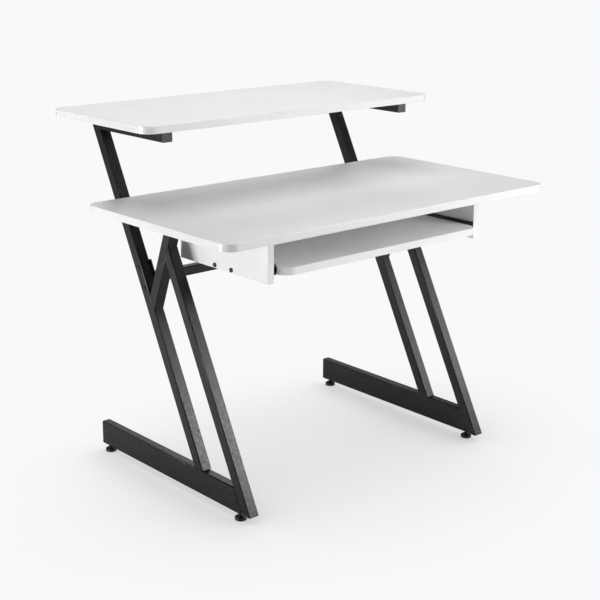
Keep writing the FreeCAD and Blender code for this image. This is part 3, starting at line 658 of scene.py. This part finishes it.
class DESK_OT_frames(bpy.types.Operator):
    """Build the tubes of the two side frames: legs, braces, base rails and arms"""

    bl_idname = "desk.frames"
    bl_label = "Side Frames"

    def execute(self, context):
        rounding = sizes().tube_rounding
        foot_back = brace_meets(REAR_LEG_START, 0)
        foot_front = brace_meets(REAR_LEG_START, BRACE_RUN)
        head_front = brace_meets(FRONT_LEG_START, BRACE_RUN)
        head_back = brace_meets(FRONT_LEG_START, BRACE_RUN, 0)
        for name in SIDES:
            low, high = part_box("rear_tube_" + name)
            corners = {
                (1, -1): raked(low.z, REAR_LEG_START),
                (-1, -1): raked(low.z, REAR_LEG_START, LEG_RUN),
                (1, 1): raked(high.z, REAR_LEG_START),
                (-1, 1): raked(high.z, REAR_LEG_START, LEG_RUN),
            }
            leg = bar(low.x, high.x, corners, rounding, Z)
            piece("rear_leg_" + name, leg, "desk", "powder_coat", "rear_tube_" + name)
            low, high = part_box("front_tube_" + name)
            corners = {
                (1, -1): raked(low.z, FRONT_LEG_START),
                (-1, -1): raked(low.z, FRONT_LEG_START, LEG_RUN),
                (1, 1): raked(head_back, FRONT_LEG_START),
                (-1, 1): raked(head_front, FRONT_LEG_START, LEG_RUN),
            }
            leg = bar(low.x, high.x, corners, rounding, Z)
            piece("front_leg_" + name, leg, "desk", "powder_coat", "front_tube_" + name)
            low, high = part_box("brace_" + name)
            corners = {
                (1, -1): braced(foot_back),
                (-1, -1): braced(foot_front, BRACE_RUN),
                (1, 1): braced(high.z),
                (-1, 1): braced(high.z, BRACE_RUN),
            }
            brace = bar(low.x, high.x, corners, rounding, Z)
            piece("leg_brace_" + name, brace, "desk", "powder_coat", "brace_" + name)
            low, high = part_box("base_rail_" + name)
            corners = {
                (1, -1): (high.y, low.z),
                (-1, -1): raked(low.z, FRONT_LEG_START),
                (1, 1): (high.y, high.z),
                (-1, 1): raked(high.z, FRONT_LEG_START),
            }
            rail = bar(low.x, high.x, corners, rounding, Y)
            piece("floor_rail_" + name, rail, "desk", "powder_coat", "base_rail_" + name)
            for arm in ("shelf_arm_", "top_arm_"):
                low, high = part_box(arm + name)
                corners = {
                    (1, -1): raked(low.z, REAR_LEG_START, LEG_RUN),
                    (-1, -1): (low.y, low.z),
                    (1, 1): raked(high.z, REAR_LEG_START, LEG_RUN),
                    (-1, 1): (low.y, high.z),
                }
                made = bar(low.x, high.x, corners, rounding, Y)
                piece(arm + "tube_" + name, made, "desk", "powder_coat", arm + name)
        return {"FINISHED"}


class DESK_OT_welds(bpy.types.Operator):
    """Lay weld beads where the tubes of the side frames meet"""

    bl_idname = "desk.welds"
    bl_label = "Weld Beads"

    def execute(self, context):
        radius = sizes().weld
        for name in SIDES:
            low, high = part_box("rear_tube_" + name)
            rail_low, rail_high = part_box("base_rail_" + name)
            shelf_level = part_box("shelf_arm_" + name)[0].z
            top_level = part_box("top_arm_" + name)[0].z
            # Beads stop short of the tubes' rounded corners.
            x_from, x_to = low.x + 3 * MM, high.x - 3 * MM
            foot_from, foot_to = rail_low.x + 2 * MM, rail_high.x - 2 * MM
            spots = []
            # Leg foot on the rail, front and back.
            front_y = raked(rail_high.z, REAR_LEG_START, LEG_RUN)[0]
            back_y = raked(rail_high.z, REAR_LEG_START)[0]
            for y in (front_y, back_y):
                spots.append(((foot_from, y, rail_high.z), (foot_to, y, rail_high.z)))
            # Rail's end against the front leg.
            y, z = raked(rail_high.z, FRONT_LEG_START)
            spots.append(((foot_from, y, z), (foot_to, y, z)))
            # Arms against the rear leg.
            for z in (shelf_level, top_level):
                y = raked(z, REAR_LEG_START, LEG_RUN)[0]
                spots.append(((x_from, y, z), (x_to, y, z)))
            # Brace's foot against the rear leg, and the front leg's head against the brace.
            for start_y, shift, run in (
                (REAR_LEG_START, 0, LEG_RUN),
                (REAR_LEG_START, BRACE_RUN, LEG_RUN),
                (FRONT_LEG_START, BRACE_RUN, LEG_RUN),
                (FRONT_LEG_START, BRACE_RUN, 0),
            ):
                level = brace_meets(start_y, shift, run)
                y = braced(level, shift)[0]
                spots.append(((x_from, y, level), (x_to, y, level)))
            beads = joined([weld_line(a, b, radius) for a, b in spots])
            piece("weld_beads_" + name, beads, "desk", "powder_coat")
        return {"FINISHED"}


class DESK_OT_crossbar(bpy.types.Operator):
    """Build the crossbar between the rear legs and its two end plates"""

    bl_idname = "desk.crossbar"
    bl_label = "Crossbar"

    def execute(self, context):
        low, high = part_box("crossbar")
        beam = block(low, high)
        edges = [e for e in beam.edges if along(e, X)]
        round_off(beam, edges, sizes().tube_rounding, 4)
        piece("crossbar_tube", beam, "desk", "powder_coat", "crossbar")
        level = sum(CROSSBAR_BOLT_LEVELS) / 2
        y = REAR_LEG_START - LEG_RUN / 2 + LEG_SLOPE * level
        lean = Matrix.Rotation(-math.atan(LEG_SLOPE), 4, "X")
        for name in SIDES:
            low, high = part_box("crossbar_plate_" + name)
            half = Vector(((high.x - low.x) / 2, PLATE_HALF_WIDTH, PLATE_HALF_LENGTH))
            plate = block(-half, half)
            round_off(plate, [e for e in plate.edges if along(e, X)], PLATE_CORNER, 5)
            rims = [e for e in plate.edges if not along(e, X) and e.calc_face_angle(0) > 1]
            round_off(plate, rims, PLATE_EDGE, 2)
            spot = Matrix.Translation(((low.x + high.x) / 2, y, level))
            bmesh.ops.transform(plate, matrix=spot @ lean, verts=plate.verts)
            label = "crossbar_plate_" + name
            piece("crossbar_end_plate_" + name, plate, "desk", "powder_coat", label)
        return {"FINISHED"}


def button_head(seat, outward, radius, height):
    """A low round bolt head with a hexagonal socket, seated on the work."""
    crown = radius * 0.62
    rim = height * 0.45
    profile = [(crown, height), (radius * 0.82, height * 0.9), (radius * 0.95, height * 0.7)]
    profile += [(radius, rim), (radius, 0), (0, 0)]
    bm = turned(profile, (0, 0, 0), Z, steps=24)
    mouth = [e for e in bm.edges if e.is_boundary]
    socket = bmesh.ops.create_circle(
        bm,
        cap_ends=False,
        radius=radius * 0.42,
        segments=6,
        matrix=Matrix.Translation((0, 0, height)),
    )
    ring = {e for v in socket["verts"] for e in v.link_edges}
    bmesh.ops.bridge_loops(bm, edges=mouth + list(ring))
    grown = bmesh.ops.extrude_edge_only(bm, edges=list(ring))
    deep = [g for g in grown["geom"] if isinstance(g, bmesh.types.BMVert)]
    bmesh.ops.translate(bm, vec=(0, 0, -height * 0.6), verts=deep)
    floor = [g for g in grown["geom"] if isinstance(g, bmesh.types.BMEdge)]
    floor = [e for e in floor if all(v in deep for v in e.verts)]
    bmesh.ops.contextual_create(bm, geom=floor)
    bmesh.ops.recalc_face_normals(bm, faces=bm.faces)
    turn = Z.rotation_difference(Vector(outward)).to_matrix().to_4x4()
    bmesh.ops.transform(bm, matrix=Matrix.Translation(seat) @ turn, verts=bm.verts)
    return bm


def shank(seat, inward, radius, length):
    """A bolt's shank with a chamfered point and shallow thread rings near its end."""
    profile = [(0, 0), (radius, 0), (radius, length * 0.55)]
    pitch = 1.0 * MM
    rings = int(length * 0.4 / pitch)
    height = length * 0.55
    for _ in range(rings):
        profile.append((radius * 0.9, height + pitch / 2))
        profile.append((radius, height + pitch))
        height += pitch
    profile += [(radius * 0.75, length), (0, length)]
    return turned(profile, seat, inward, steps=16)


class DESK_OT_bolts(bpy.types.Operator):
    """Build the button-head bolts through the legs and through the tray panels"""

    bl_idname = "desk.bolts"
    bl_label = "Bolts"

    def execute(self, context):
        middle = REAR_LEG_START - LEG_RUN / 2
        leg = [(middle + LEG_SLOPE * z, z) for z in CROSSBAR_BOLT_LEVELS]
        panel = [(y, SPREADER_BOLT_LEVEL) for y in SPREADER_BOLT_Y]
        # Each row: the node, what it goes through, where, and its head's height and length.
        for label, host, spots, height, length in (
            ("crossbar_bolts", "rear_tube_right", leg, 3 * MM, 44 * MM),
            ("spreader_bolts", "tray_panel_right", panel, 3.5 * MM, 27 * MM),
        ):
            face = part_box(host)[1].x
            parts = []
            for side in SIDES.values():
                for y, z in spots:
                    seat = Vector((side * face, y, z))
                    parts.append(button_head(seat, X * side, BOLT_HEAD_RADIUS, height))
                    parts.append(shank(seat, X * -side, BOLT_RADIUS, length))
            piece(label + "_black", joined(parts), "desk", "black_bolt", label)
        return {"FINISHED"}


class DESK_OT_plugs(bpy.types.Operator):
    """Build the plastic end plugs of the rails, the arms and the front legs"""

    bl_idname = "desk.plugs"
    bl_label = "End Plugs"

    def execute(self, context):
        corner = sizes().tube_rounding
        for label, host, outward in (
            ("rail_plugs", "base_rail_", 1),
            ("shelf_arm_plugs", "shelf_arm_", -1),
            ("top_arm_plugs", "top_arm_", -1),
        ):
            parts = []
            for name in SIDES:
                low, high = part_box(host + name)
                end = high.y if outward > 0 else low.y
                tip = end + outward * PLUG_FLANGE
                near, far = sorted((end, tip))
                cap = block((low.x, near, low.z), (high.x, far, high.z))
                round_off(cap, [e for e in cap.edges if along(e, Y)], corner, 4)
                rims = [
                    e
                    for e in cap.edges
                    if all(abs(v.co.y - tip) < 0.01 * MM for v in e.verts)
                ]
                round_off(cap, rims, PLUG_EDGE, 3)
                parts.append(cap)
                near, far = sorted((end, end - outward * PLUG_DEPTH))
                inner_low = (low.x + PLUG_GAP, near, low.z + PLUG_GAP)
                inner_high = (high.x - PLUG_GAP, far, high.z - PLUG_GAP)
                parts.append(block(inner_low, inner_high))
            piece(label + "_moulded", joined(parts), "desk", "plug_plastic", label)
        parts = []
        for name in SIDES:
            low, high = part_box("front_tube_" + name)
            back = raked(low.z, FRONT_LEG_START)[0]
            bottom = (low.x, back - LEG_RUN, low.z - PLUG_FLANGE)
            cap = block(bottom, (high.x, back, low.z))
            round_off(cap, [e for e in cap.edges if along(e, Z)], corner, 4)
            parts.append(cap)
            # The tongue leans with the tube, so it sits further back than the cap.
            middle = back - LEG_RUN / 2
            inner = block(
                (low.x + 2 * MM, middle - 9 * MM, low.z),
                (high.x - 2 * MM, middle + 14 * MM, low.z + 10 * MM),
            )
            parts.append(inner)
        label = "front_tube_plugs"
        piece(label + "_moulded", joined(parts), "desk", "plug_plastic", label)
        return {"FINISHED"}


def hex_prism(spot, radius, low, high, softening):
    """A six-sided nut shape standing upright."""
    bm = bmesh.new()
    bmesh.ops.create_cone(
        bm,
        cap_ends=True,
        segments=6,
        radius1=radius,
        radius2=radius,
        depth=high - low,
        matrix=Matrix.Translation((spot[0], spot[1], (low + high) / 2)),
    )
    rims = [e for e in bm.edges if not along(e, Z)]
    round_off(bm, rims, softening, 2)
    return bm


class DESK_OT_feet(bpy.types.Operator):
    """Build the four levelling feet: a moulded pad, its hexagon and its threaded stem"""

    bl_idname = "desk.feet"
    bl_label = "Levelling Feet"

    def execute(self, context):
        shoulder, step = 2.5 * MM, 0.5 * MM
        root, tip = FOOT_STEM_RADIUS - step, 3.2 * MM
        stem = [(0, 0)]
        for i in range(int(FOOT_STEM_LENGTH / FOOT_PITCH)):
            stem.append((root, i * FOOT_PITCH))
            stem.append((FOOT_STEM_RADIUS, (i + 0.5) * FOOT_PITCH))
        stem += [(tip, FOOT_STEM_LENGTH), (0, FOOT_STEM_LENGTH)]
        for node in ["foot_%s_%s" % (end, name) for end in ("front", "rear") for name in SIDES]:
            low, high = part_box(node)
            spot = ((low.x + high.x) / 2, (low.y + high.y) / 2, low.z)
            radius = (high.x - low.x) / 2
            profile = [(0, 0), (radius - 1.2 * MM, 0), (radius, 1 * MM)]
            for i in range(6):
                angle = math.radians(90 * i / 5)
                out = radius - shoulder * (1 - math.cos(angle))
                profile.append((out, FOOT_DISC - shoulder * (1 - math.sin(angle))))
            neck = FOOT_HEXAGON_RADIUS + step
            profile.append((neck + step, FOOT_DISC))
            profile += [(neck, FOOT_DISC + step), (0, FOOT_DISC + step)]
            nut = hex_prism(spot, FOOT_HEXAGON_RADIUS, FOOT_DISC, FOOT_HEXAGON_TOP, step)
            seat = (spot[0], spot[1], FOOT_HEXAGON_TOP - 0.1 * MM)
            parts = [turned(profile, spot, Z, 48), nut, turned(stem, seat, Z, 20)]
            piece("levelling_" + node, joined(parts), node + "_body", "foot_plastic", node)
        return {"FINISHED"}


class DESK_OT_finishes(bpy.types.Operator):
    """Give every part that keeps its CAD shape the finish of its material slot"""

    bl_idname = "desk.finishes"
    bl_label = "Finishes of CAD Parts"

    def execute(self, context):
        rows = frame["record"]["subparts"]
        slot_of = {row["node"]: row["material_slot"] for row in rows}
        for name, node in frame["nodes"].items():
            if name not in slot_of:
                raise RuntimeError("no material slot for " + name)
            node.data.materials.clear()
            node.data.materials.append(finish(slot_of[name]))
        return {"FINISHED"}


# ---------------------------------------------------------------- stage


def lamp(name, spot, target, width, height, power):
    """A soft rectangular light that faces a point and isn't itself seen."""
    data = bpy.data.lights.new(name, "AREA")
    data.shape = "RECTANGLE"
    data.size, data.size_y = width, height
    data.energy = power
    lit = bpy.data.objects.new(name, data)
    lit.location = spot
    facing = Vector(target) - Vector(spot)
    lit.rotation_euler = facing.to_track_quat("-Z", "Y").to_euler()
    lit.visible_camera = False
    bpy.context.scene.collection.objects.link(lit)


# Each lamp: its name, place, the point it faces, its width and height, and its power.
LAMPS = (
    ("left_low_strip", (-3.0, 1.0, 0.45), (0, 0, 0.6), 1.5, 0.6, 60),
    ("right_front_box", (1.6, -2.1, 1.2), (0, 0, 0.6), 1.0, 0.6, 40),
    ("overhead_box", (0, 0, 3.0), (0, 0, 0.5), 2.4, 2.4, 39),
    ("rear_low_strip", (2.5, 3.0, 0.5), (0, 0, 0.3), 2.4, 0.5, 4),
    ("rear_high_box", (1.8, 3.2, 2.6), (0, 0, 0.7), 3.0, 0.9, 31),
    ("front_high_box", (-0.1, -2.7, 2.7), (0, 0, 0.6), 1.2, 1.2, 17),
)
ROOM_COLOUR = "#f8f9fb"
ROOM_GLOW = 0.1
SHADOW_REACH = 0.9
CAMERA_SPOT = (-2.3217, -2.6745, 1.4553)
# Turned right of +Y, tipped down, and rolled, in degrees.
CAMERA_YAW, CAMERA_PITCH, CAMERA_ROLL = 41.22, 13.576, 0.224
CAMERA_LENS, CAMERA_SENSOR, CAMERA_SHIFT = 79.59, 36, -0.1001


def seen_apart(tree, lit, seen, output):
    """Ends a tree with one shader for the camera and another for all other rays."""
    path = add(tree, "ShaderNodeLightPath")
    inputs = {0: path.outputs["Is Camera Ray"], 1: lit.outputs[0], 2: seen.outputs[0]}
    mixed = add(tree, "ShaderNodeMixShader", inputs=inputs)
    add(tree, output, inputs={"Surface": mixed.outputs[0]})


def floor_material():
    """Pale floor that glows evenly to the camera, with painted shade under the desk where
    ambient occlusion finds it near; matt white to all other rays.
    """
    material = bpy.data.materials.new("studio_floor")
    material.use_nodes = True
    tree = material.node_tree
    tree.nodes.clear()
    inputs = {"Distance": SHADOW_REACH}
    hidden = add(tree, "ShaderNodeAmbientOcclusion", {"samples": 24}, inputs)
    # Painted shade: the floor's glow turns grey where ambient occlusion finds the desk close,
    # and stays pale in the open.
    ramp = add(tree, "ShaderNodeValToRGB", inputs={"Fac": hidden.outputs["AO"]})
    ramp.color_ramp.elements[0].position = 0.0
    ramp.color_ramp.elements[0].color = linear("#9a9b9d")
    ramp.color_ramp.elements[1].position = 0.92
    ramp.color_ramp.elements[1].color = linear(ROOM_COLOUR)
    glow = add(tree, "ShaderNodeEmission", inputs={"Color": ramp.outputs[0], "Strength": 1.0})
    matt = add(tree, "ShaderNodeBsdfDiffuse", inputs={"Color": linear("#ececec")})
    seen_apart(tree, matt, glow, "ShaderNodeOutputMaterial")
    return material


def room():
    """A dim room round the desk that looks as pale as the floor to the camera."""
    world = bpy.data.worlds.new("studio_room")
    world.use_nodes = True
    tree = world.node_tree
    tree.nodes.clear()
    pale = linear(ROOM_COLOUR)
    dim = add(tree, "ShaderNodeBackground", inputs={"Color": pale, "Strength": ROOM_GLOW})
    seen = add(tree, "ShaderNodeBackground", inputs={"Color": pale, "Strength": 1.0})
    seen_apart(tree, dim, seen, "ShaderNodeOutputWorld")
    return world


def desk_camera():
    """The camera that looks at the desk from its front left."""
    data = bpy.data.cameras.new("desk_camera")
    data.lens = CAMERA_LENS
    data.sensor_width = CAMERA_SENSOR
    data.shift_y = CAMERA_SHIFT
    data.dof.use_dof = False
    camera = bpy.data.objects.new("desk_camera", data)
    yaw, pitch, roll = (math.radians(a) for a in (CAMERA_YAW, CAMERA_PITCH, CAMERA_ROLL))
    level = Vector((math.sin(yaw), math.cos(yaw), 0))
    ahead = level * math.cos(pitch) - Z * math.sin(pitch)
    right = Vector((math.cos(yaw), -math.sin(yaw), 0))
    up = right.cross(ahead)
    across = right * math.cos(roll) + up * math.sin(roll)
    upward = up * math.cos(roll) - right * math.sin(roll)
    turn = Matrix((across, upward, -ahead)).transposed().to_4x4()
    camera.matrix_world = Matrix.Translation(CAMERA_SPOT) @ turn
    return camera


class DESK_OT_stage(bpy.types.Operator):
    """Set up the pale floor, the soft studio lights and the camera"""

    bl_idname = "desk.stage"
    bl_label = "Stage"

    def execute(self, context):
        scene = context.scene
        bm = bmesh.new()
        bmesh.ops.create_grid(bm, x_segments=1, y_segments=1, size=60)
        mesh = bpy.data.meshes.new("studio_floor")
        bm.to_mesh(mesh)
        bm.free()
        mesh.materials.append(floor_material())
        floor = bpy.data.objects.new("studio_floor", mesh)
        floor.location.z = cad_low.z - 0.2 * MM
        scene.collection.objects.link(floor)
        for settings in LAMPS:
            lamp(*settings)
        scene.world = room()
        scene.view_settings.view_transform = "Standard"
        scene.camera = desk_camera()
        scene.collection.objects.link(scene.camera)
        return {"FINISHED"}


OPERATORS = (
    DESK_OT_boards,
    DESK_OT_panels,
    DESK_OT_frames,
    DESK_OT_welds,
    DESK_OT_crossbar,
    DESK_OT_bolts,
    DESK_OT_plugs,
    DESK_OT_feet,
    DESK_OT_finishes,
    DESK_OT_stage,
)


class DESK_PT_panel(bpy.types.Panel):
    """The desk's sizes, colours and build steps"""

    bl_idname = "DESK_PT_panel"
    bl_label = "Computer Desk"
    bl_space_type = "VIEW_3D"
    bl_region_type = "UI"
    bl_category = "Desk"

    def draw(self, context):
        layout = self.layout
        for group in (context.scene.desk_sizes, context.scene.desk_colours):
            for name in group.__annotations__:
                layout.prop(group, name)
        for step in OPERATORS:
            layout.operator(step.bl_idname)


CLASSES = (DeskSizes, DeskColours, *OPERATORS, DESK_PT_panel)


def register():
    """Adds the desk's classes and settings to Blender."""
    for item in CLASSES:
        bpy.utils.register_class(item)
    bpy.types.Scene.desk_sizes = PointerProperty(type=DeskSizes)
    bpy.types.Scene.desk_colours = PointerProperty(type=DeskColours)


def unregister():
    """Takes them away again."""
    del bpy.types.Scene.desk_colours
    del bpy.types.Scene.desk_sizes
    for item in reversed(CLASSES):
        bpy.utils.unregister_class(item)


def main():
    """Builds the desk and its stage."""
    register()
    for step in OPERATORS:
        group, name = step.bl_idname.split(".")
        getattr(getattr(bpy.ops, group), name)()


if __name__ == "__main__":
    main()
